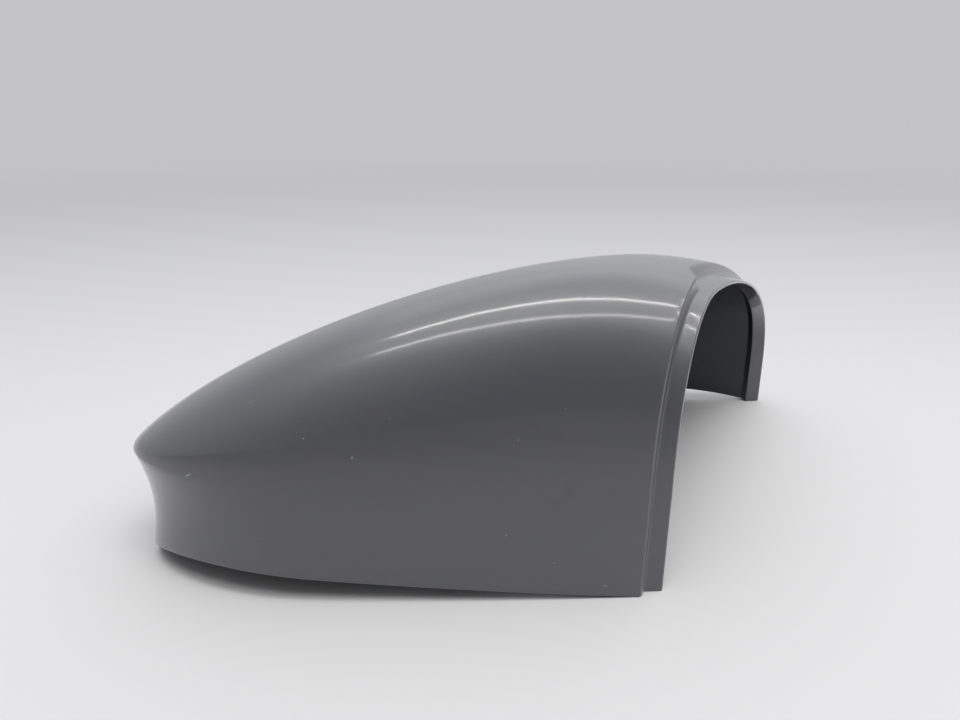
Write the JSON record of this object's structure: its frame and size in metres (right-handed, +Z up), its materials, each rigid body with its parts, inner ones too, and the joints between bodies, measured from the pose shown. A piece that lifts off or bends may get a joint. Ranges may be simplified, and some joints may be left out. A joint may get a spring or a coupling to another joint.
{
  "type": "wing mirror cover",
  "caption": "Domed moulded cover for a wing mirror, open on the glass side, with a slanted flanged arch at the arm end.",
  "frame": {"origin": "middle of the outline, on the table that the open side rests on", "axes": "+X along the cover from the outer end to the arm end, +Y from the near wall to the far wall, +Z up to the crown"},
  "size_m": [0.2362, 0.152, 0.0908],
  "materials": {
    "shell": "glossy mid-grey moulded plastic"
  },
  "bodies": {
    "root": {"cover": "shell"}
  },
  "joints": []
}
